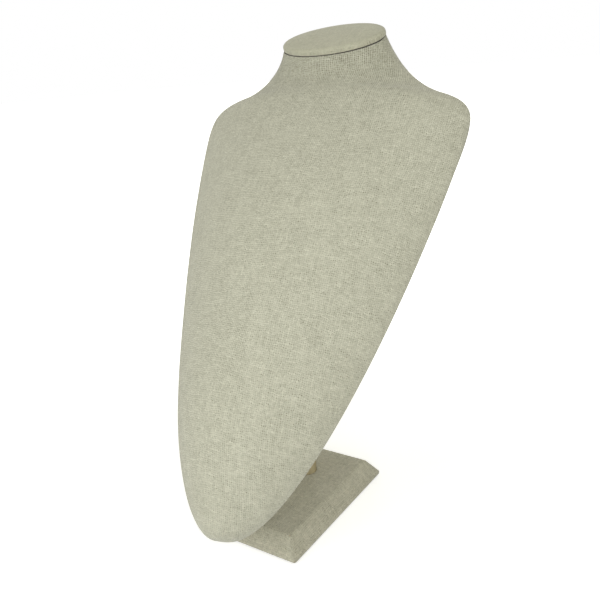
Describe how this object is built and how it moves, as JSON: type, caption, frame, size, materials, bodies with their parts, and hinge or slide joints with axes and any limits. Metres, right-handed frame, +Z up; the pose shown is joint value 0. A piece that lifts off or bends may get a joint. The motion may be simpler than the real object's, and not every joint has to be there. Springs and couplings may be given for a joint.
{
  "type": "necklace stand",
  "caption": "Linen-covered display bust with neck, shoulders and a tapering chest, leaning back on a wooden post over a bevelled base.",
  "frame": {"origin": "middle of the base's underside", "axes": "+Z up; the bust faces -Y, its tip in front of the base; +X is to the right seen from the front"},
  "size_m": [0.25, 0.2501, 0.3937],
  "materials": {
    "moulding": "matt as moulded",
    "linen": "plain woven linen, natural grey beige",
    "fibreboard": "sawn fibreboard",
    "wood": "sanded, unvarnished",
    "screw_steel": "zinc plated",
    "pad": "felt",
    "foam": "thin foam"
  },
  "bodies": {
    "root": {"bust_shell": "moulding", "bust_linen": "linen", "back_board": "fibreboard", "back_linen": "linen", "wedge_block": "wood", "post_screws": "screw_steel", "support_post": "wood", "base_screw": "screw_steel", "base_block": "fibreboard", "base_linen": "linen", "base_pad": "pad", "cap_board": "fibreboard", "cap_pad": "foam", "cap_linen": "linen"}
  },
  "joints": []
}
